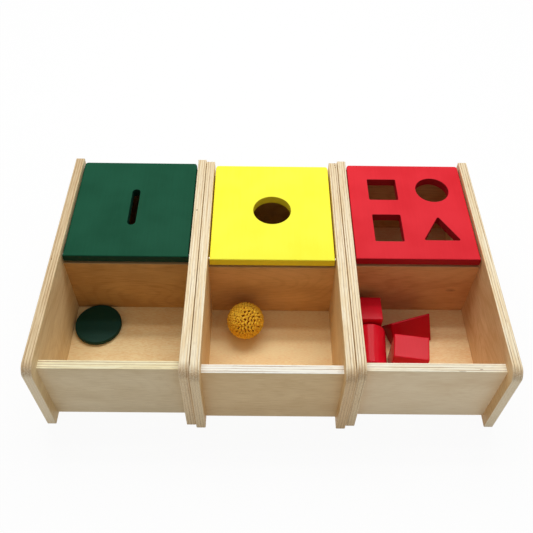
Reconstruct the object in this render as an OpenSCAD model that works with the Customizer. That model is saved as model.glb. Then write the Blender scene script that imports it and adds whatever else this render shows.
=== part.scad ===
// Posting toy of three plywood boxes that stand side by side.
// Each box has an open tray in front and a closed compartment behind it, under a painted lid.
// The lid turns on two steel pins over the divider: its rear edge lifts, and it flips right over
// to lie on the front panel, above the tray.
// Left box: a disc goes through a slot. Middle box: a knit ball goes through a round hole.
// Right box: four blocks go through four holes of their own outline.
// Frame: origin on the table under the middle of the set, +X right, +Y back, +Z up, millimetres.

/* [Plywood] */
// Thickness of every plywood panel
ply_t = 9; // [7.5:0.5:11]
// Radius that eases the panels' visible edges
ply_ease = 0.8; // [0.4:0.1:1.5]

/* [Box] */
// Width of one box over its two sides
box_w = 144; // [136:1:165]
// Length of a side panel, front to back
side_l = 270; // [255:1:290]
// Height of a side panel
side_h = 100; // [88:1:115]
// Radius of a side panel's upper front corner
side_front_r = 12; // [5:0.5:18]
// Radius of a side panel's upper rear corner
side_rear_r = 2.5; // [1.5:0.5:6]
// Distance of the front panel behind the sides' front edges
front_setback = 10.5; // [7:0.5:14]
// Distance of the back panel in front of the sides' rear edges
back_setback = 9; // [7:0.5:12]
// Height of the floor's underside above the table
floor_lift = 1; // [0.5:0.5:4]
// Height of the front and back panels' lower edges above the table
panel_lift = 3.5; // [2:0.5:6]
// Distance of the divider's front face behind the sides' front edges
divider_y = 131.5; // [126:0.5:138]

/* [Lid] */
// Thickness of a lid
lid_t = 9; // [7.5:0.5:11]
// Depth of a lid's top below the tops of the sides
lid_recess = 3.5; // [2:0.5:6]
// Gap between a lid and each side
lid_side_gap = 1.2; // [1:0.1:2.2]
// Distance of a lid's rear edge in front of the sides' rear edges
lid_rear_setback = 3.5; // [2:0.5:6]
// Radius of a lid's two rear corners, seen from above
lid_corner_r = 5; // [3:0.5:10]
// Radius that eases a lid's painted edges
lid_ease = 1.2; // [0.6:0.1:2]
// Gap under a lid where it comes to rest, on the back panel or flipped on the front panel
lid_rest_gap = 0.4; // [0.2:0.1:1]

/* [Hinge] */
// Diameter of a hinge pin
pin_d = 3; // [2.5:0.25:4]
// Distance of the pins behind a lid's front edge
pin_setback = 5; // [4:0.25:7]
// Depth of a pin in its side panel
pin_in_side = 6; // [4:0.5:6.5]
// Depth of a pin in the lid
pin_in_lid = 14; // [10:0.5:20]
// Radial clearance of the lid on its pins
pin_running_gap = 0.06; // [0.03:0.01:0.1]
// Radial clearance of a pin or dowel in its glued hole
seat_gap = 0.02; // [0.01:0.01:0.05]
// Clearance of the lid's turning front edge over the divider
swing_gap = 0.8; // [0.5:0.1:1.5]

/* [Dowels] */
// Diameter of the hidden wooden dowels
dowel_d = 5; // [4:0.5:6]
// Depth of a dowel in a side panel
dowel_in_side = 5.5; // [4:0.5:6.5]
// Depth of a dowel in the end of a panel
dowel_in_panel = 15; // [10:0.5:20]
// Distance of the outer dowels from a panel's ends
dowel_inset = 16; // [12:0.5:20]

/* [Set] */
// Gap between neighbouring boxes
box_gap = 0.5; // [0.3:0.1:5]
// How far the middle box stands in front of the other two
stagger = 3; // [0:0.5:10]

/* [Disc, ball and blocks] */
// Room left around a rigid piece in its hole, side to side
post_clearance = 3; // [1.5:0.1:4]
// Room left around the prism in its hole, along each side
prism_clearance = 5; // [2.5:0.1:6]
// Room left around the soft ball in its hole, side to side
ball_clearance = 2.5; // [0.5:0.1:4]
// Diameter of the disc
disc_d = 48; // [40:0.5:52]
// Thickness of the disc
disc_t = 5.5; // [4:0.5:7]
// Diameter of the knit ball
ball_d = 37; // [32:0.5:42]
// Length of the rectangular block and of the prism
block_l = 43; // [36:0.5:46]
// Length of the square block
square_l = 37; // [32:0.5:42]
// Length of the cylinder
cylinder_l = 45; // [40:0.5:46]
// Side of the square block
square_side = 28; // [25:0.5:30]
// Short side of the rectangular block
rect_short = 26.5; // [22:0.5:28]
// Long side of the rectangular block
rect_long = 34; // [30:0.5:36]
// Diameter of the cylinder
cylinder_d = 32.5; // [28:0.5:34]
// Side of the triangular prism's ends
prism_side = 33; // [28:0.5:35]
// Radius that eases the blocks' painted edges
block_ease = 1.2; // [0.6:0.1:2]
// Radius in the corners of the square, rectangular and triangular holes
hole_corner_r = 1.5; // [0.8:0.1:3]

/* [Holes in the red lid] */
// Distance of the left holes from the lid's middle
hole_left = 25.5; // [22:0.5:28]
// Distance of the right holes from the lid's middle
hole_right = 28; // [24:0.5:30]
// Distance of the rear holes behind the lid's middle
hole_rear = 29.5; // [25:0.5:32]
// Distance of the front holes in front of the lid's middle
hole_front = 26; // [24:0.5:30]

/* [Where the pieces lie] */
// Height of a loose piece above the floor it lies on
lie_gap = 0.2; // [0.1:0.05:0.4]
// Gap from a piece that leans on the left side panel
wall_gap = 0.4; // [0.3:0.1:2]
// Gap from the disc to the left side panel
disc_wall_gap = 1.8; // [0.5:0.1:20]
// Gap from the disc to the divider
disc_divider_gap = 1; // [0.5:0.1:10]
// Gap from the ball to the left side panel
ball_wall_gap = 18; // [1:0.5:40]
// Gap from the ball to the divider
ball_divider_gap = 7.5; // [1:0.5:30]
// Gap from the square block to the left side panel
square_wall_gap = 3.3; // [0.5:0.1:4]
// Gap from the square block to the divider
square_divider_gap = 10.5; // [2:0.5:18]
// Gap from the square block to the cylinder's end
cylinder_end_gap = 0.6; // [0.5:0.1:4]
// Turn of the cylinder, seen from above
cylinder_turn = -3.5; // [-6:0.5:0]
// Gap from the square block to the prism, left to right
prism_gap = 4.7; // [1:0.1:12]
// Gap from the prism to the divider
prism_divider_gap = 8.5; // [1:0.5:12]
// Turn of the prism, seen from above
prism_turn = 18; // [0:0.5:25]
// Gap from the cylinder to the rectangular block, left to right
rect_gap = 1.2; // [1:0.1:8]
// Gap from the prism to the rectangular block, front to back
rect_prism_gap = 5.5; // [1:0.1:8]
// Turn of the rectangular block, seen from above
rect_turn = -7.8; // [-12:0.2:0]

/* [Hidden] */
$fn = 96;
// Extra length that lets a cut pass its surface
past = 1;
left = -1;
right = 1;

inner_w = box_w - 2 * ply_t;
floor_top = floor_lift + ply_t;
front_panel_rear = front_setback + ply_t;
back_panel_rear = side_l - back_setback;
back_panel_front = back_panel_rear - ply_t;

lid_top = side_h - lid_recess;
lid_under = lid_top - lid_t;
lid_w = inner_w - 2 * lid_side_gap;
lid_l = side_l - lid_rear_setback - divider_y;
lid_middle_y = divider_y + lid_l / 2;
pin_y = divider_y + pin_setback;
pin_z = lid_top - lid_t / 2;
pin_l = pin_in_side + lid_side_gap + pin_in_lid;

// The lid's lower front edge dips this far below its underside as it turns about the pins
swing_dip = norm([pin_setback, lid_t / 2]) - lid_t / 2;
divider_top = lid_under - swing_dip - swing_gap;
front_top = lid_under - lid_rest_gap;
back_top = lid_under - lid_rest_gap;

box_pitch = box_w + box_gap;
outer_front = (stagger - side_l) / 2;
green_box = [-box_pitch, outer_front, 0];
yellow_box = [0, outer_front - stagger, 0];
red_box = [box_pitch, outer_front, 0];

green_paint = [0.07, 0.28, 0.19];
yellow_paint = [0.98, 0.90, 0.10];
red_paint = [0.80, 0.07, 0.10];
amber_yarn = [0.80, 0.50, 0.10];
birch = [0.90, 0.80, 0.62];
beech = [0.80, 0.62, 0.42];
steel = [0.78, 0.79, 0.80];

// Places of the dowels on the side panels' inner faces, as [y, z]
function upright_spots(y, low, high) =
    [for (z = [low + dowel_inset, high - dowel_inset]) [y + ply_t / 2, z]];
function floor_spots() =
    let (first = front_panel_rear + dowel_inset, last = back_panel_front - dowel_inset)
    [for (y = [first, (first + last) / 2, last]) [y, floor_lift + ply_t / 2]];
front_spots = upright_spots(front_setback, panel_lift, front_top);
divider_spots = upright_spots(divider_y, floor_top, divider_top);
back_spots = upright_spots(back_panel_front, panel_lift, back_top);
all_spots = concat(front_spots, divider_spots, back_spots, floor_spots());

// Half of the room that a turned rectangle takes along the axis that its side a lies near
function half_room(a, b, turn) = (a * cos(turn) + b * abs(sin(turn))) / 2;

left_wall_x = -inner_w / 2;
lie_z = floor_top + lie_gap;
square_x = left_wall_x + square_wall_gap + square_side / 2;
square_y = divider_y - square_divider_gap - square_side / 2;
cylinder_x = left_wall_x + wall_gap + half_room(cylinder_d, cylinder_l, cylinder_turn);
cylinder_y = square_y - square_side / 2 - cylinder_end_gap - half_room(cylinder_l, cylinder_d, cylinder_turn);
prism_x = square_x + square_side / 2 + prism_gap + half_room(block_l, prism_side, prism_turn);
prism_y = divider_y - prism_divider_gap - half_room(prism_side, block_l, prism_turn);
prism_front = prism_y - half_room(prism_side, block_l, prism_turn);
rect_x = cylinder_x + cylinder_d / 2 + rect_gap + half_room(rect_long, rect_short, rect_turn);
rect_y = prism_front - rect_prism_gap - half_room(rect_short, rect_long, rect_turn);

// Rectangle from the origin with all four corners rounded
module rounded_rectangle(w, h, r) {
    translate([r, 0]) square([w - 2 * r, h]);
    translate([0, r]) square([w, h - 2 * r]);
    for (x = [r, w - r], y = [r, h - r]) translate([x, y]) circle(r);
}

// Equal-sided triangle about its centre, with a corner up and rounded corners
module rounded_triangle(side, r) {
    corner_reach = side / sqrt(3) - 2 * r;
    function toward(a) = [cos(a), sin(a)];
    polygon([for (a = [330, 90, 210], s = [-60:15:60]) corner_reach * toward(a) + r * toward(a + s)]);
}

// Draws a flat outline in Y and Z and gives it a thickness along +X
module along_x(thickness) {
    rotate([90, 0, 90]) linear_extrude(thickness) children();
}

// Draws a flat outline in X and Z and gives it a length along +Y
module along_y(length) {
    translate([0, length, 0]) rotate([90, 0, 0]) linear_extrude(length) children();
}

// Box from the origin with all twelve edges eased
module eased_box(size, r) {
    intersection() {
        linear_extrude(size.z) rounded_rectangle(size.x, size.y, r);
        along_x(size.x) rounded_rectangle(size.y, size.z, r);
        along_y(size.y) rounded_rectangle(size.x, size.z, r);
    }
}

// Round bar on a side panel's inner face, reaching into the side and into what it holds
module cross_bar(hand, spot, r, in_side, in_panel) {
    face_x = hand * inner_w / 2;
    outer_x = face_x + hand * in_side;
    translate([outer_x, spot[0], spot[1]]) rotate([0, -90 * hand, 0])
        cylinder(r = r, h = in_side + in_panel);
}

module dowel_holes(hand, spots) {
    for (spot = spots)
        cross_bar(hand, spot, dowel_d / 2 + seat_gap, dowel_in_side + seat_gap, dowel_in_panel + seat_gap);
}

// Outline of a side panel, front edge at the left, with its two upper corners rounded
module side_outline() {
    square([side_l, side_h - side_front_r]);
    translate([side_front_r, 0]) square([side_l - side_front_r - side_rear_r, side_h]);
    translate([side_front_r, 0]) square([side_l - side_front_r, side_h - side_rear_r]);
    translate([side_front_r, side_h - side_front_r]) circle(side_front_r);
    translate([side_l - side_rear_r, side_h - side_rear_r]) circle(side_rear_r);
}

// Side panel with blind seats for its dowels and its hinge pin
module side_panel(hand) {
    low_x = hand == left ? -box_w / 2 : inner_w / 2;
    color(birch) difference() {
        translate([low_x, 0, 0]) intersection() {
            along_x(ply_t) side_outline();
            along_y(side_l) rounded_rectangle(ply_t, side_h, ply_ease);
            linear_extrude(side_h) rounded_rectangle(ply_t, side_l, ply_ease);
        }
        dowel_holes(hand, all_spots);
        cross_bar(hand, [pin_y, pin_z], pin_d / 2 + seat_gap, pin_in_side + seat_gap, past);
    }
}

// Board that stands across the box between its sides, with dowel seats in both ends
module cross_panel(y, low, high, spots) {
    color(birch) difference() {
        translate([-inner_w / 2, y, low]) along_x(inner_w) rounded_rectangle(ply_t, high - low, ply_ease);
        for (hand = [left, right]) dowel_holes(hand, spots);
    }
}

module front_panel() {
    cross_panel(front_setback, panel_lift, front_top, front_spots);
}

module divider() {
    cross_panel(divider_y, floor_top, divider_top, divider_spots);
}

module back_panel() {
    cross_panel(back_panel_front, panel_lift, back_top, back_spots);
}

// Floor of the tray and of the compartment, in one piece
module floor_board() {
    color(birch) difference() {
        translate([-inner_w / 2, front_panel_rear, floor_lift])
            cube([inner_w, back_panel_front - front_panel_rear, ply_t]);
        for (hand = [left, right]) dowel_holes(hand, floor_spots());
    }
}

// Hidden dowels that tie the front, divider, back and floor to both sides
module dowels() {
    color(beech)
        for (hand = [left, right], spot = all_spots)
            cross_bar(hand, spot, dowel_d / 2, dowel_in_side, dowel_in_panel);
}

// Two steel pins, fast in the sides, on which the lid turns
module hinge_pins() {
    color(steel)
        for (hand = [left, right])
            cross_bar(hand, [pin_y, pin_z], pin_d / 2, pin_in_side, pin_l - pin_in_side);
}

// Plan of a lid from its front left corner: square front corners, rounded rear corners
module lid_plan() {
    square([lid_w, lid_l - lid_corner_r]);
    translate([lid_corner_r, 0]) square([lid_w - 2 * lid_corner_r, lid_l]);
    for (x = [lid_corner_r, lid_w - lid_corner_r])
        translate([x, lid_l - lid_corner_r]) circle(lid_corner_r);
}

// Board of a lid with its edges eased, from its front left corner
module lid_board() {
    intersection() {
        linear_extrude(lid_t) lid_plan();
        along_x(lid_w) rounded_rectangle(lid_l, lid_t, lid_ease);
        along_y(lid_l) rounded_rectangle(lid_w, lid_t, lid_ease);
    }
}

// Lid with its pin bores; its children are the outlines of its holes, about its middle
module lid(paint) {
    bore_end = lid_side_gap + pin_in_lid + past;
    color(paint) difference() {
        translate([0, lid_middle_y, lid_under]) difference() {
            translate([-lid_w / 2, -lid_l / 2, 0]) lid_board();
            translate([0, 0, -past]) linear_extrude(lid_t + 2 * past) children();
        }
        for (hand = [left, right])
            cross_bar(hand, [pin_y, pin_z], pin_d / 2 + pin_running_gap, past, bore_end);
    }
}

module slot_outline() {
    slot_w = disc_t + post_clearance;
    slot_l = disc_d + post_clearance;
    translate([-slot_w / 2, (slot_w - slot_l) / 2]) square([slot_w, slot_l - slot_w]);
    for (y = [-1, 1]) translate([0, y * (slot_l - slot_w) / 2]) circle(d = slot_w);
}

module ball_hole_outline() {
    circle(d = ball_d + ball_clearance);
}

module block_hole_outlines() {
    square_hole = square_side + post_clearance;
    rect_hole = [rect_short + post_clearance, rect_long + post_clearance];
    prism_hole = prism_side + prism_clearance;
    translate([-hole_left, hole_rear] - [square_hole, square_hole] / 2)
        rounded_rectangle(square_hole, square_hole, hole_corner_r);
    translate([-hole_left, -hole_front] - rect_hole / 2)
        rounded_rectangle(rect_hole.x, rect_hole.y, hole_corner_r);
    translate([hole_right, hole_rear]) circle(d = cylinder_d + post_clearance);
    // The triangle's centre lies a sixth of its height in front of its middle
    translate([hole_right, -hole_front - prism_hole * sqrt(3) / 12])
        rounded_triangle(prism_hole, hole_corner_r);
}

// Turned disc with a rounded rim
module disc() {
    centre = [left_wall_x + disc_wall_gap + disc_d / 2, divider_y - disc_divider_gap - disc_d / 2, lie_z];
    color(green_paint) translate(centre) rotate_extrude() intersection() {
        translate([-disc_d / 2, 0]) rounded_rectangle(disc_d, disc_t, block_ease);
        square([disc_d / 2, disc_t]);
    }
}

// Stuffed knit ball, as the round that its stitches fill
module knit_ball() {
    centre = [left_wall_x + ball_wall_gap + ball_d / 2, divider_y - ball_divider_gap - ball_d / 2];
    color(amber_yarn) translate([centre.x, centre.y, lie_z + ball_d / 2]) sphere(d = ball_d);
}

module square_block() {
    color(red_paint) translate([square_x - square_side / 2, square_y - square_side / 2, lie_z])
        eased_box([square_side, square_side, square_l], block_ease);
}

module rectangular_block() {
    color(red_paint) translate([rect_x, rect_y, lie_z]) rotate(rect_turn)
        translate([-rect_long / 2, -rect_short / 2, 0])
            eased_box([rect_long, rect_short, block_l], block_ease);
}

// Turned cylinder with rounded rims, lying along the side panel
module cylinder_block() {
    color(red_paint) translate([cylinder_x, cylinder_y, lie_z + cylinder_d / 2]) rotate(cylinder_turn)
        translate([0, cylinder_l / 2, 0]) rotate([90, 0, 0]) rotate_extrude() intersection() {
            translate([-cylinder_d / 2, 0]) rounded_rectangle(cylinder_d, cylinder_l, block_ease);
            square([cylinder_d / 2, cylinder_l]);
        }
}

// Slab that eases the two ends of the prism's lower face, about the prism's axis
module prism_end_ease() {
    inner_r = prism_side / sqrt(12);
    translate([-block_l / 2, -prism_side, -inner_r])
        along_y(2 * prism_side) rounded_rectangle(block_l, 2 * prism_side, block_ease);
}

// Triangular prism lying on one of its long faces
module triangular_prism() {
    inner_r = prism_side / sqrt(12);
    color(red_paint) translate([prism_x, prism_y, lie_z + inner_r]) rotate(prism_turn)
        intersection() {
            translate([-block_l / 2, 0, 0]) along_x(block_l) rounded_triangle(prism_side, block_ease);
            prism_end_ease();
            rotate([120, 0, 0]) prism_end_ease();
            rotate([240, 0, 0]) prism_end_ease();
        }
}

translate(green_box) side_panel(left);  // green_left_side
translate(green_box) side_panel(right);  // green_right_side
translate(green_box) floor_board();  // green_floor
translate(green_box) front_panel();  // green_front
translate(green_box) divider();  // green_divider
translate(green_box) back_panel();  // green_back
translate(green_box) dowels();  // green_dowels
translate(green_box) hinge_pins();  // green_hinge_pins
translate(green_box) lid(green_paint) slot_outline();  // green_lid

translate(yellow_box) side_panel(left);  // yellow_left_side
translate(yellow_box) side_panel(right);  // yellow_right_side
translate(yellow_box) floor_board();  // yellow_floor
translate(yellow_box) front_panel();  // yellow_front
translate(yellow_box) divider();  // yellow_divider
translate(yellow_box) back_panel();  // yellow_back
translate(yellow_box) dowels();  // yellow_dowels
translate(yellow_box) hinge_pins();  // yellow_hinge_pins
translate(yellow_box) lid(yellow_paint) ball_hole_outline();  // yellow_lid

translate(red_box) side_panel(left);  // red_left_side
translate(red_box) side_panel(right);  // red_right_side
translate(red_box) floor_board();  // red_floor
translate(red_box) front_panel();  // red_front
translate(red_box) divider();  // red_divider
translate(red_box) back_panel();  // red_back
translate(red_box) dowels();  // red_dowels
translate(red_box) hinge_pins();  // red_hinge_pins
translate(red_box) lid(red_paint) block_hole_outlines();  // red_lid

translate(green_box) disc();
translate(yellow_box) knit_ball();
translate(red_box) square_block();
translate(red_box) rectangular_block();
translate(red_box) cylinder_block();  // cylinder
translate(red_box) triangular_prism();
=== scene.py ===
import math

import bmesh
import bpy
from mathutils import Matrix, Vector, noise


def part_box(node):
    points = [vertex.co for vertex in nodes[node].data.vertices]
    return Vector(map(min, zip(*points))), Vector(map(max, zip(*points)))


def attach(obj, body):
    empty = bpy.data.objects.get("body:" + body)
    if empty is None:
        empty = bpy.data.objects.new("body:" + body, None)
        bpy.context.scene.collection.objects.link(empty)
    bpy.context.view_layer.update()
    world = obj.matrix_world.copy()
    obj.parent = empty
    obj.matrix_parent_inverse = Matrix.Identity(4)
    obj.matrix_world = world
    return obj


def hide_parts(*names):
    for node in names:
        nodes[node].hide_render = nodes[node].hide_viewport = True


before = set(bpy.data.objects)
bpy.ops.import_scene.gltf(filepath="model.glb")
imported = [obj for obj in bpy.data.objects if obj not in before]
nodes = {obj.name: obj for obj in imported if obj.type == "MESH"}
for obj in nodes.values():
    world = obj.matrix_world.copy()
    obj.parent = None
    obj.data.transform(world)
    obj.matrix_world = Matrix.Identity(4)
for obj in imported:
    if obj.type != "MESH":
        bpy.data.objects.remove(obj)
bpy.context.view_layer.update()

# Side panels
# Two upright boards of seven-ply birch for each box, lacquered clear. The face grain runs from
# front to back; the sawn edges show the plies, and the rounded corners soak up more lacquer.
BOXES = ("green", "yellow", "red")
MM = 1000
X, Y, Z = range(3)


class Field:
    """A value, colour or vector that varies over a surface: the output of one shader node."""

    def __init__(self, tree, socket=None):
        self.tree = tree
        self.socket = socket

    def node(self, kind, settings=None, inputs=None, out=0):
        """Field of any kind of node, with its settings and with values or fields on its inputs."""
        made = self.tree.nodes.new(kind)
        for name, value in (settings or {}).items():
            setattr(made, name, value)
        for key, value in (inputs or {}).items():
            if isinstance(value, Field):
                self.tree.links.new(value.socket, made.inputs[key])
            else:
                made.inputs[key].default_value = value
        return Field(self.tree, made.outputs[out])

    def math(self, operation, *values):
        return self.node("ShaderNodeMath", {"operation": operation}, dict(enumerate(values)))

    def __add__(self, other):
        return self.math("ADD", self, other)

    def __sub__(self, other):
        return self.math("SUBTRACT", self, other)

    def __rsub__(self, other):
        return self.math("SUBTRACT", other, self)

    def __mul__(self, other):
        return self.math("MULTIPLY", self, other)

    __radd__ = __add__
    __rmul__ = __mul__

    def step(self, low, high):
        """Smooth rise from 0 at low to 1 at high."""
        return self.node("ShaderNodeMapRange", {"interpolation_type": "SMOOTHSTEP"},
                         {"Value": self, "From Min": low, "From Max": high})

    def along(self, operation, vector):
        """Vector that an operation with another vector makes of this one."""
        return self.node("ShaderNodeVectorMath", {"operation": operation}, {0: self, 1: vector})

    def length(self):
        return self.node("ShaderNodeVectorMath", {"operation": "LENGTH"}, {0: self}, out=1)

    def part(self, axis):
        return self.node("ShaderNodeSeparateXYZ", None, {0: self}, out=axis)

    def noise(self, repeats, detail=2.0):
        """Noise at this place, about 0.5, with its repeats per unit of length on each axis."""
        return self.node("ShaderNodeTexNoise", None,
                         {"Vector": self.along("MULTIPLY", repeats), "Scale": 1.0, "Detail": detail})

    def blend(self, first, second):
        """Colour between two colours, with this field as the share of the second."""
        return self.node("ShaderNodeMix", {"data_type": "RGBA"}, {0: self, 6: first, 7: second}, out=2)


def rgb(red, green, blue):
    """Colour as a screen shows it, 0 to 255, turned to the linear values that shaders take."""
    return tuple((c / 255 / 12.92 if c <= 10 else ((c / 255 + 0.055) / 1.055) ** 2.4)
                 for c in (red, green, blue)) + (1.0,)


def deeper(colour, share):
    return tuple(c * share for c in colour[:3]) + (1.0,)


def start_finish(name, sockets=None):
    """New material with fixed shader values; returns it with fields of the place in mm and the facing."""
    material = bpy.data.materials.new(name)
    material.use_nodes = True
    shader = material.node_tree.nodes["Principled BSDF"]
    for socket, value in (sockets or {}).items():
        shader.inputs[socket].default_value = value
    start = Field(material.node_tree)
    place = start.node("ShaderNodeTexCoord", out="Object").along("MULTIPLY", (MM, MM, MM))
    facing = start.node("ShaderNodeTexCoord", out="Normal")
    return material, place, facing


def lay_on(material, colour, rough, height, depth, strength, under=None):
    """Links colour and roughness to a material's shader, and a height in metres through a bump."""
    tree = material.node_tree
    shader = tree.nodes["Principled BSDF"]
    inputs = {"Height": height, "Distance": depth, "Strength": strength}
    if under:
        inputs["Normal"] = under
    bump = height.node("ShaderNodeBump", None, inputs)
    for socket, field in {"Base Color": colour, "Roughness": rough, "Normal": bump}.items():
        tree.links.new(field.socket, shader.inputs[socket])


def wear(node, material):
    """Gives a CAD piece its finish."""
    for slot in nodes[node].material_slots:
        slot.material = material


def low_face(node, axis):
    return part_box(node)[0][axis] * MM


PLY_THICK, PLIES = 9.0, 7
BOARD_SHIFT = 37.0, 61.0, 23.0
GLUE_LINE = rgb(156, 110, 66)
SOAKED_LACQUER = rgb(196, 138, 76)
KNOT = rgb(104, 52, 28)
PLAIN_ENDS = rgb(252, 232, 196), rgb(236, 208, 162), 0.65


def plywood(name, thick, low, grain, faces, edges, seed, figure=0.08, fibre_run=0.06, ends=PLAIN_ENDS, marks=()):
    """Birch plywood, its thickness along one axis from its low face and its face grain along another.

    Faces, edges and ends are each a pale and a deep colour, the ends with the share of the glue lines
    that the sanding left. Figure is how strongly the growth rings show, and fibre_run how often the
    fibres change in a millimetre of their length. A mark is a dark void or pin knot: its middle and
    its reach along each axis, in millimetres, and its strength.
    """
    cross = X + Y + Z - thick - grain
    *end_colours, end_lines = ends
    material, place, facing = start_finish(name, {"Specular IOR Level": 0.15})
    own = place.along("ADD", [seed * shift for shift in BOARD_SHIFT])

    def by_grain(with_grain, across):
        return [with_grain if axis == grain else across for axis in range(3)]

    def by_layer(through, within):
        return [through if axis == thick else within for axis in range(3)]

    # Faces: growth rings, bands of early and late wood, clouds, fibres and short dark flecks
    ring_turns = 150.0
    rings = own.noise(by_grain(0.005, 0.014), 1.0) * ring_turns
    flames = rings.math("SINE", rings).step(0.2, 1.0)
    bands = own.noise(by_grain(0.004, 0.035))
    clouds = own.noise(by_grain(0.03, 0.05), 3.0)
    fibres = own.noise(by_grain(fibre_run, 1.5))
    flecks = own.noise(by_grain(0.15, 1.1), 1.0).step(0.66, 0.76)
    tone = (flames * figure + bands * 0.45 + clouds * 0.45 + fibres * 0.75).step(0.60, 1.08)
    face = (flecks * 0.25).blend(tone.blend(*faces), deeper(faces[1], 0.72))

    # Edges: layers that waver, with glue lines and open dashes, and painted shade that darkens the long-grain
    # edges to the rear
    square = [facing.part(axis) * facing.part(axis) for axis in range(3)]
    waver = own.noise((0.03, 0.03, 0.03), 1.0) - 0.5
    ply = (place.part(thick) - low) * (PLIES / PLY_THICK * math.pi) + waver * 1.2
    cores = (0 - ply.math("SINE", ply)).step(0.5, 0.9)
    threads = own.noise((0.9, 0.9, 0.9))
    long_cut = own.noise(by_layer(1.1, 0.03)).step(0.35, 0.65).blend(*edges)
    end_cut = threads.step(0.3, 0.7).blend(*end_colours)
    dashes = own.noise(by_layer(1.8, 0.12)).step(0.55, 0.7)
    strong = own.noise(by_layer(0.3, 0.012), 1.0).step(0.35, 0.65)
    # Painted shade: the long-grain edges darken towards the rear
    painted_rear_shade = place.part(Y).step(-60, 150) * square[cross]
    soaked = square[grain] * square[cross] * 4 * threads.step(0.3, 0.6)
    edge = square[grain].blend(long_cut, end_cut)
    edge = (painted_rear_shade * 0.5).blend(edge, deeper(edges[1], 0.74))
    lines = (cores * (strong * 0.6 + 0.18) + dashes * 0.25) * (1 - square[grain] * (1 - end_lines))
    edge = lines.blend(edge, GLUE_LINE)
    edge = (soaked * 0.38).blend(edge, SOAKED_LACQUER)

    on_face = square[thick].step(0.3, 0.7)
    colour = on_face.blend(edge, face)
    for middle, reach, strength in marks:
        spot = place.along("SUBTRACT", middle).along("DIVIDE", reach).length()
        colour = ((1 - spot.step(0.5, 1.1)) * strength).blend(colour, KNOT)
    edge_rough, face_rough = 0.62, 0.46
    rough = edge_rough - on_face * (edge_rough - face_rough) + (threads - 0.5) * 0.16
    height = on_face * (fibres * 0.7 + bands * 0.3) + (1 - on_face) * (threads * 0.6 - cores * 0.4)
    lay_on(material, colour, rough, height, depth=0.00012, strength=0.35)
    return material


side_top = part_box("green_left_side")[1].z * MM
side_marks = {
    "yellow_right_side": [((68.6 + 0.4 * i, 134.5 - 3.2 * i, side_top), (0.8, 1.0, 1.0), 0.75)
                          for i in range(4)],
    "green_right_side": [((-77.9, 58.3, side_top), (0.9, 1.2, 1.0), 0.8)],
    "green_left_side": [((-214.2, -9.4, side_top), (0.7, 1.6, 1.0), 0.6)],
}
side_faces = {
    "green": (rgb(238, 215, 170), rgb(216, 186, 136)),
    "yellow": (rgb(235, 203, 150), rgb(213, 171, 112)),
    "red": (rgb(234, 200, 149), rgb(212, 169, 114)),
}
side_edges = rgb(254, 242, 212), rgb(242, 218, 174)
darker_edges = {"green_left_side": (rgb(232, 209, 168), rgb(212, 184, 141))}
# Painted light: the two outermost boards' front edges get paler end grain with fainter glue lines, for the more
# light they catch from the sides
painted_light_ends = rgb(255, 240, 210), rgb(247, 225, 186), 0.15
side_ends = {
    "green_left_side": painted_light_ends,
    "yellow_right_side": (rgb(244, 216, 174), rgb(226, 190, 142), 0.4),
    "red_right_side": painted_light_ends,
}
for number, colour in enumerate(BOXES):
    for hand in ("left", "right"):
        node = f"{colour}_{hand}_side"
        seed = number * 2 + (hand == "right")
        wear(node, plywood(f"birch_{node}", X, low_face(node, X), Y, side_faces[colour],
                           darker_edges.get(node, side_edges), seed,
                           ends=side_ends.get(node, PLAIN_ENDS), marks=side_marks.get(node, ())))

# Front panels, dividers and back panels
# Boards of the same plywood that stand across each box between its sides, glued and dowelled.
# Their face grain runs from side to side. The dividers' browner faces and edges are painted shade, for the shade
# under the lids; the back panels are given a like brown.
cross_faces = {
    "green_front": (rgb(244, 225, 188), rgb(226, 203, 161)),
    "yellow_front": (rgb(242, 214, 166), rgb(224, 191, 140)),
    "red_front": (rgb(255, 235, 199), rgb(240, 214, 173)),
    # The dividers' browner faces are painted shade
    "green_divider": (rgb(208, 160, 98), rgb(180, 132, 74)),
    "yellow_divider": (rgb(228, 176, 114), rgb(202, 150, 90)),
    "red_divider": (rgb(226, 168, 114), rgb(200, 140, 88)),
}
back_faces = rgb(216, 174, 118), rgb(190, 146, 94)
pale_edges = rgb(255, 251, 232), rgb(248, 238, 208)
# Painted shade: the dividers' edges are browner than the other boards' edges
divider_edges_painted_shade = rgb(222, 182, 132), rgb(204, 160, 110)
cross_edges = {
    "green_front": (rgb(252, 245, 208), rgb(243, 229, 184)),
    "yellow_front": (rgb(255, 255, 246), rgb(254, 250, 234)),
}
cross_marks = {
    "red_divider": [((187.5, -2.0, 46.0), (6.2, 1.0, 3.0), 0.3),
                    ((188.2, -2.0, 45.8), (2.2, 1.0, 1.1), 0.25)],
    "red_front": [((185.0, -120.1, 87.1), (1.8, 0.7, 1.0), 0.5),
                  ((167.8, -122.2, 87.1), (4.0, 0.7, 1.0), 0.35)],
}
cross_figure = {"front": 0.04, "divider": 0.07, "back": 0.1}
first_cross_seed = 7
for number, colour in enumerate(BOXES):
    for place_in_box, board in enumerate(("front", "divider", "back")):
        node = f"{colour}_{board}"
        edges = divider_edges_painted_shade if board == "divider" else cross_edges.get(node, pale_edges)
        seed = first_cross_seed + number * 3 + place_in_box
        wear(node, plywood(f"birch_{node}", Y, low_face(node, Y), X, cross_faces.get(node, back_faces),
                           edges, seed, cross_figure[board], marks=cross_marks.get(node, ())))

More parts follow.
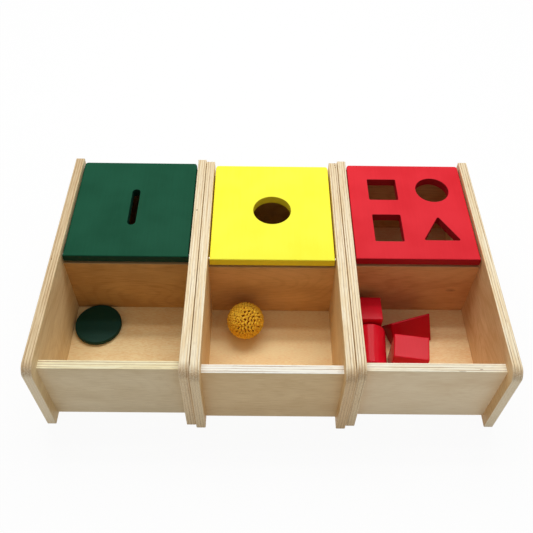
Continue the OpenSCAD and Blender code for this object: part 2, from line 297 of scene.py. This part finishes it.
# Floors
# One board of the same plywood under the tray and the compartment of each box, let in between
# the sides. Its face grain runs from side to side.
floor_faces = {
    "green": (rgb(247, 223, 170), rgb(236, 196, 137)),
    "yellow": (rgb(255, 231, 177), rgb(246, 206, 145)),
    "red": (rgb(255, 231, 180), rgb(244, 204, 146)),
}
floor_edges = rgb(244, 228, 190), rgb(228, 206, 162)
first_floor_seed = 17
for number, colour in enumerate(BOXES):
    node = f"{colour}_floor"
    wear(node, plywood(f"birch_{node}", Z, low_face(node, Z), X, floor_faces[colour], floor_edges,
                       first_floor_seed + number, figure=0.02, fibre_run=0.3))

# Dowels
# Turned beech pegs, glued blind into the sides and into the ends of the cross boards.
# They are hidden once the box is glued up.
beech, place, facing = start_finish("plain_beech", {"Specular IOR Level": 0.2})
rays = place.noise((0.08, 1.4, 1.4))
beech_colour = rays.step(0.3, 0.7).blend(rgb(214, 172, 126), rgb(184, 136, 92))
lay_on(beech, beech_colour, rays * 0.2 + 0.6, rays, depth=0.0001, strength=0.3)
for colour in BOXES:
    wear(f"{colour}_dowels", beech)

# Hinge pins
# Cut lengths of bright steel rod, driven into the sides and free in the ends of the lid.
# A short stretch of each shows in the gap beside the lid's front corners.
steel, place, facing = start_finish("bright_steel_rod", {"Metallic": 1.0})
drawn = place.noise((0.4, 9.0, 9.0))
steel_colour = drawn.blend(rgb(206, 206, 208), rgb(232, 232, 232))
lay_on(steel, steel_colour, drawn * 0.2 + 0.2, drawn, depth=0.00003, strength=0.3)
for colour in BOXES:
    wear(f"{colour}_hinge_pins", steel)

# Lids
# Nine millimetre boards sprayed with satin paint all over, inside their cut-outs too, and swung on
# the pins. The grain shows faintly through the paint, which is paler along the corners: rubbed paint and a painted
# highlight.
# The upright faces, the sawn edges and the walls of the cut-outs, are given a deeper colour as painted shade.


def satin_paint(name, light, dark, rubbed_and_highlight, grain, gloss, shine, edge=None):
    """Sprayed paint over wood whose grain runs along one axis; gloss is the middle roughness.

    Edge is a deeper colour for the upright faces, painted shade, where it is not that of the level ones.
    """
    material, place, facing = start_finish(name, {"Specular IOR Level": shine})
    telegraph = place.noise([0.03 if axis == grain else 0.7 for axis in range(3)])
    peel = place.noise((0.8, 0.8, 0.8), 1.0)
    clouds = place.noise((0.025, 0.025, 0.025))
    shade = (clouds * 0.75 + telegraph * 0.25).step(0.3, 0.75)
    rounded = place.node("ShaderNodeBevel", {"samples": 6}, {"Radius": 0.0009})
    flat = place.node("ShaderNodeNewGeometry", out="Normal")
    agree = rounded.node("ShaderNodeVectorMath", {"operation": "DOT_PRODUCT"}, {0: rounded, 1: flat}, out=1)
    # Rubbed paint and painted highlight: a paler colour in patches along the rounded edges
    scuffs_and_painted_highlight = (1 - agree).step(0.01, 0.2) * place.noise((0.2, 0.2, 0.2)).step(0.4, 0.65)
    colour = shade.blend(light, dark)
    # Painted shade: the upright faces take the deeper edge colour
    if edge:
        level = (facing.part(Z) * facing.part(Z)).step(0.3, 0.7)
        colour = level.blend(edge, colour)
    colour = (scuffs_and_painted_highlight * 0.5).blend(colour, rubbed_and_highlight)
    rough = (clouds - 0.5) * 0.16 + (peel - 0.5) * 0.1 + scuffs_and_painted_highlight * 0.1 + gloss
    lay_on(material, colour, rough, peel * 0.5 + telegraph * 0.5, depth=0.00006, strength=0.25, under=rounded)
    return material


lid_shine = 0.06
lid_paints = {
    "green": (rgb(14, 77, 53), rgb(9, 69, 46), rgb(48, 108, 82), Y, 0.5),
    "yellow": (rgb(255, 251, 72), rgb(254, 246, 60), rgb(255, 250, 120), Y, 0.48),
    "red": (rgb(224, 42, 53), rgb(214, 34, 45), rgb(236, 84, 90), Y, 0.45),
}
# Painted shade for each lid's upright faces and cut-out walls
lid_edges_painted_shade = {"green": rgb(22, 58, 44), "yellow": rgb(254, 230, 50), "red": rgb(172, 26, 34)}
for colour, paint in lid_paints.items():
    wear(f"{colour}_lid", satin_paint(f"{colour}_satin_paint", *paint, lid_shine, lid_edges_painted_shade[colour]))

# Disc
# A turned wooden counter with a rounded rim, painted a darker green than its lid.
# It lies flat in the tray, and is posted on edge through the slot.
wear("disc", satin_paint("dark_green_paint", rgb(26, 63, 51), rgb(20, 53, 43), rgb(34, 74, 60),
                         X, gloss=0.42, shine=0.08))

# Knit ball
# A stuffed ball worked in rounds from thick golden yarn, one loop drawn through the next, so that
# small dark gaps show between the loops. It flattens a little where it lies.
low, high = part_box("knit_ball")
proud = 0.0005
ball_middle = (low + high) / 2 + Vector((0, 0, proud))
ball_r = (high.z - low.z) / 2 + proud
yarn_r = 0.00124
loop_rise = 0.0004
round_r = ball_r - yarn_r - loop_rise * 0.4
stuffing_depth = 0.0016
stuffing_r = round_r - stuffing_depth
row_step = 0.0032
loop_step = 0.0049
loop_reach = 0.00065
stray = 0.0010
stray_rise = 0.0003
stray_scale, row_shift = 300, 7.3
stray_shifts = Vector((9.3, -1.5, -8.0)), Vector((0, 0, 0)), Vector((6.3, 11.2, -2.7))
loop_bulge = 0.35
steps_per_loop = 14
strand_sides = 8


def on_ball(reach, polar, turn):
    return reach * Vector((math.sin(polar) * math.cos(turn), math.sin(polar) * math.sin(turn), math.cos(polar)))


def loop_path(polar, loops, phase, row):
    """Points of one round of loops on a ball about the origin, with its poles on Z."""
    points = []
    for i in range(loops * steps_per_loop):
        t = i / steps_per_loop * 2 * math.pi
        turn = (t + loop_bulge * math.sin(2 * t)) / loops + phase
        spot = on_ball(round_r, polar, turn) * stray_scale + Vector((0, 0, row * row_shift))
        wander = Vector([noise.noise(spot + shift) for shift in stray_shifts])
        lean = polar + (loop_reach * (1 + 0.5 * wander.z) * math.cos(t) + stray * wander.x) / round_r
        turn += stray * wander.y / (round_r * max(0.2, math.sin(polar)))
        points.append(on_ball(round_r + loop_rise * math.cos(t) + stray_rise * wander.z, lean, turn))
    return points


def add_strand(mesh, uv, points):
    """Round strand along a closed path, with its length in millimetres and its turn as the UV map."""
    rings, count, run, runs = [], len(points), 0.0, []
    angles = [2 * math.pi * k / strand_sides for k in range(strand_sides)]
    for i, point in enumerate(points):
        ahead = (points[(i + 1) % count] - points[i - 1]).normalized()
        out = (point - point.dot(ahead) * ahead).normalized()
        side = ahead.cross(out)
        plump = yarn_r * (1 + 0.1 * noise.noise(point * 500))
        rings.append([mesh.verts.new(point + plump * (math.cos(a) * out + math.sin(a) * side))
                      for a in angles])
        runs.append(run)
        run += (points[(i + 1) % count] - point).length * MM
    runs.append(run)
    for i in range(count):
        for k in range(strand_sides):
            corners = [(i, k), (i, k + 1), (i + 1, k + 1), (i + 1, k)]
            face = mesh.faces.new([rings[a % count][b % strand_sides] for a, b in corners])
            face.smooth = True
            for loop, (a, b) in zip(face.loops, corners):
                loop[uv].uv = (runs[a], b / strand_sides)


# Three plies twist round each other: the UV map's length and turn give the lay of their grooves
yarn, place, facing = start_finish("golden_yarn", {"Specular IOR Level": 0.1, "Sheen Weight": 0.04,
                                                   "Sheen Roughness": 0.5})
yarn_plies = 3
turns_per_mm = 2.4
strand = place.node("ShaderNodeUVMap", {"uv_map": "strand"})
twist = strand.part(X) * turns_per_mm + strand.part(Y) * (2 * math.pi * yarn_plies)
lay = twist.math("SINE", twist)
fluff = place.noise((2.2, 2.2, 2.2), 3.0)
dye = place.noise((0.12, 0.12, 0.12), 1.0)
# Painted shade: the yarn is red-brown where it lies deep, near the stuffing, and golden on the crests
painted_shade_from, painted_shade_to = round_r * MM - 1.3, round_r * MM + 0.6
crest_over_painted_shade = place.along("SUBTRACT", ball_middle * MM).length().step(painted_shade_from, painted_shade_to)
golden = (fluff * 0.5 + dye * 0.5).step(0.2, 0.95).blend(rgb(255, 196, 46), rgb(255, 220, 76))
# Painted shade: the grooves between the plies are a deeper orange
golden = ((0 - lay).step(0.1, 1.0) * 0.4).blend(golden, rgb(240, 138, 18))
golden = crest_over_painted_shade.blend(rgb(196, 58, 2), golden)
lay_on(yarn, golden, fluff * 0.2 + 0.75, lay * 0.65 + fluff * 0.35, depth=0.0004, strength=0.8)

stuffing, place, facing = start_finish("dark_stuffing", {"Specular IOR Level": 0.05})
matted = place.noise((0.9, 0.9, 0.9), 3.0)
stuffing_colour = matted.step(0.3, 0.7).blend(rgb(176, 28, 0), rgb(204, 44, 2))
lay_on(stuffing, stuffing_colour, matted * 0.1 + 0.88, matted, depth=0.0004, strength=0.6)

ball_mesh = bmesh.new()
strand_uv = ball_mesh.loops.layers.uv.new("strand")
rows = round(math.pi * round_r / row_step)
for row in range(rows):
    polar = (row + 0.5) * math.pi / rows
    loops = max(3, round(2 * math.pi * round_r * math.sin(polar) / loop_step))
    add_strand(ball_mesh, strand_uv, loop_path(polar, loops, (row % 2) * math.pi / loops, row))
strand_faces = len(ball_mesh.faces)
core = bmesh.ops.create_icosphere(ball_mesh, subdivisions=4, radius=stuffing_r)["verts"]
for vertex in core:
    vertex.co *= 1 + 0.02 * noise.noise(vertex.co * 400)
ball_mesh.faces.ensure_lookup_table()
for face in ball_mesh.faces[strand_faces:]:
    face.material_index = 1
    face.smooth = True
tilt = Matrix.Rotation(math.radians(62), 4, "Y") @ Matrix.Rotation(math.radians(28), 4, "X")
bmesh.ops.transform(ball_mesh, matrix=Matrix.Translation(ball_middle) @ tilt, verts=ball_mesh.verts)
for vertex in ball_mesh.verts:
    vertex.co.z = max(vertex.co.z, low.z)
mesh = bpy.data.meshes.new("knit_ball_stitches")
ball_mesh.to_mesh(mesh)
ball = bpy.data.objects.new("knit_ball_stitches", mesh)
bpy.context.scene.collection.objects.link(ball)
mesh.materials.append(yarn)
mesh.materials.append(stuffing)
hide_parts("knit_ball")
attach(ball, "knit_ball")

# Blocks
# Four hardwood blocks with eased edges, painted the red of their lid with more gloss. The cylinder's red is made
# lighter as painted light, and the prism's deeper as painted shade. Two stand in the tray, and the prism and the
# turned cylinder, which is the glossiest, lie there.
block_reds = rgb(215, 24, 42), rgb(203, 17, 34), rgb(232, 70, 82)
block_shine = 0.09
# Each block's share deepens the red: above 1 for the cylinder is painted light, below 1 for the prism is painted
# shade
block_painted_light_and_gloss = {
    "square_block": (1.0, 0.2),
    "rectangular_block": (1.0, 0.2),
    "cylinder": (1.14, 0.12),
    "triangular_prism": (0.78, 0.2),
}
for node, (share, gloss) in block_painted_light_and_gloss.items():
    wear(node, satin_paint(f"red_gloss_{node}", *[deeper(red, share) for red in block_reds],
                           Y, gloss, block_shine))

# Table, light and camera
# A plain white table under two tubes and a broad soft lamp, above and behind, as in a studio, and a
# camera that looks down from the front. Each tube draws its own edge to the lids' shadow in the trays.
table_half, table_drop = 3, 0.0003
# The table glows, table_glow, for light that scatters too, so it lights the boxes from below and in front though
# it is no lamp; the camera sees it glow more, table_glow_seen
table_glow, table_glow_seen = 0.2, 0.74
studio_light = 0.3
# Each lamp's width and height in metres, its power in watts and its place
lamps = {
    "front_tube": ((1.2, 0.08), 2.8, (0, 0.317, 1.264)),
    "rear_tube": ((1.2, 0.08), 4.3, (0, 0.496, 1.194)),
    "broad_lamp": ((1.2, 0.45), 6.7, (0, 0.70, 1.06)),
}
photo_px, focal_px, sensor_mm = 533, 656.82, 36
camera_place = (-0.01193, -0.41422, 0.59394)
camera_heading, camera_pitch, camera_roll = -0.89, -51.12, -1.27
white = (1, 1, 1, 1)


def shown(start):
    """1 for what the camera sees, straight, mirrored or through glass, and 0 for light that scatters."""
    rays = [start.node("ShaderNodeLightPath", out=f"Is {kind} Ray")
            for kind in ("Camera", "Glossy", "Transmission")]
    return start.math("MAXIMUM", start.math("MAXIMUM", rays[0], rays[1]), rays[2])


table = bpy.data.objects.new("white_table", bpy.data.meshes.new("white_table"))
corners = [(x * table_half, y * table_half, -table_drop) for x, y in ((-1, -1), (1, -1), (1, 1), (-1, 1))]
table.data.from_pydata(corners, [], [(0, 1, 2, 3)])
bpy.context.scene.collection.objects.link(table)
table_white = bpy.data.materials.new("table_white")
table_white.use_nodes = True
table.data.materials.append(table_white)
tree = table_white.node_tree
tree.nodes.remove(tree.nodes["Principled BSDF"])
start = Field(tree)
lit = start.node("ShaderNodeBsdfDiffuse", None, {"Color": (0.92, 0.92, 0.92, 1)})
glow = start.node("ShaderNodeEmission", None, {"Color": white, "Strength": 1.0})
mixed = start.node("ShaderNodeMixShader", None, {0: shown(start) * table_glow_seen + table_glow, 1: lit, 2: glow})
tree.links.new(mixed.socket, tree.nodes["Material Output"].inputs["Surface"])

world = bpy.data.worlds.new("white_studio")
bpy.context.scene.world = world
world.use_nodes = True
tree = world.node_tree
start = Field(tree)
around = start.node("ShaderNodeBackground", None, {"Color": white, "Strength": studio_light})
backdrop = start.node("ShaderNodeBackground", None, {"Color": white, "Strength": 1.0})
mixed = start.node("ShaderNodeMixShader", None, {0: shown(start), 1: around, 2: backdrop})
tree.links.new(mixed.socket, tree.nodes["World Output"].inputs["Surface"])

for name, (size, power, spot) in lamps.items():
    lamp = bpy.data.objects.new(name, bpy.data.lights.new(name, "AREA"))
    lamp.data.shape = "RECTANGLE"
    lamp.data.size, lamp.data.size_y = size
    lamp.data.energy = power
    lamp.location = spot
    lamp.rotation_euler = (-Vector(spot)).to_track_quat("-Z", "Y").to_euler()
    bpy.context.scene.collection.objects.link(lamp)

camera = bpy.data.objects.new("camera", bpy.data.cameras.new("camera"))
bpy.context.scene.collection.objects.link(camera)
bpy.context.scene.camera = camera
camera.data.sensor_width = sensor_mm
camera.data.lens = focal_px / photo_px * sensor_mm
camera.data.clip_start, camera.data.clip_end = 0.01, 20
look = (Matrix.Rotation(math.radians(camera_heading), 4, "Z") @ Matrix.Rotation(math.radians(camera_pitch), 4, "X")
        @ Matrix.Rotation(math.radians(camera_roll), 4, "Y") @ Matrix.Rotation(math.radians(90), 4, "X"))
camera.matrix_world = Matrix.Translation(camera_place) @ look

bpy.context.scene.view_settings.view_transform = "Standard"
